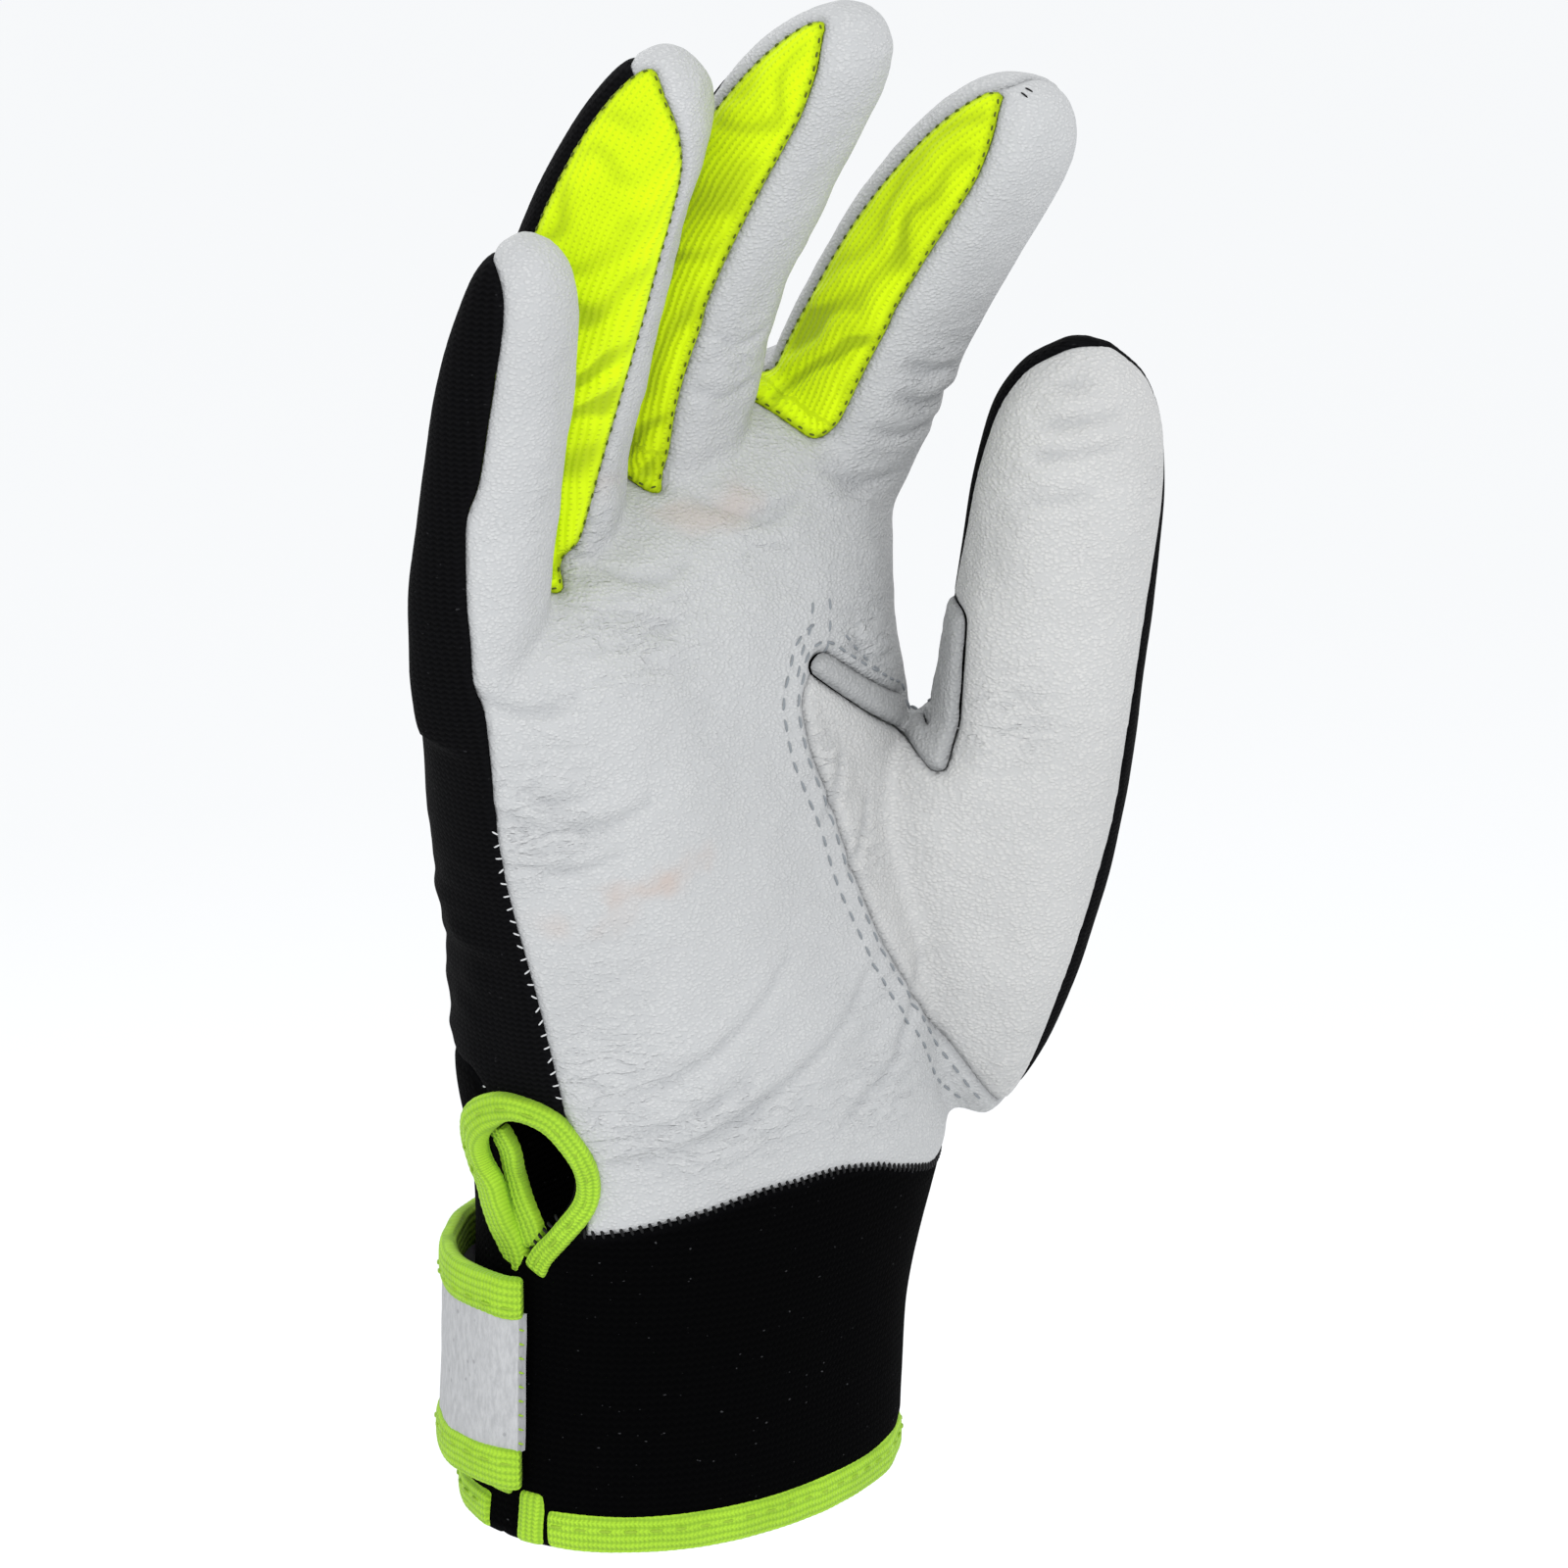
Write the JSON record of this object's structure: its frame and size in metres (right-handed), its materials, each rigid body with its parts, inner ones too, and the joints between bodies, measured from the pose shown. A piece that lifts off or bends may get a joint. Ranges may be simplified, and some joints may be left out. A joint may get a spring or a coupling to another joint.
{
  "type": "goatskin work glove",
  "caption": "Right-hand work glove with a leather palm, thumb and index finger, knit back, mesh finger sides, bound side slit and a wrist strap.",
  "frame": {"origin": "middle of the cuff's opening at the hem, where the wrist goes in", "axes": "+Z from the cuff to the fingertips, +X towards the thumb, -Y out of the palm"},
  "size_m": [0.1121, 0.081, 0.2169],
  "materials": {
    "white_leather": "pebbled goatskin, undyed, lightly stained",
    "grey_leather": "folded leather welt",
    "black_knit": "matte stretch knit",
    "black_cuff": "matte padded cuff cloth with faint ribs",
    "yellow_mesh": "fluorescent tricot mesh",
    "lime_binding": "ribbed woven binding tape",
    "grey_strap": "light grey felt-like strap, left unprinted"
  },
  "bodies": {
    "root": {"palm_leather": "white_leather", "thumb_leather": "white_leather", "index_back": "white_leather", "crotch_welt": "grey_leather", "back_knit": "black_knit", "thumb_back": "black_knit", "cuff": "black_cuff", "fourchette_index_middle": "yellow_mesh", "fourchette_middle_ring": "yellow_mesh", "fourchette_ring_pinky": "yellow_mesh", "hem_binding": "lime_binding", "slit_binding": "lime_binding", "slit_corner_binding": "lime_binding", "strap_binding_bottom": "lime_binding", "strap_binding_top": "lime_binding", "strap": "grey_strap"}
  },
  "joints": []
}
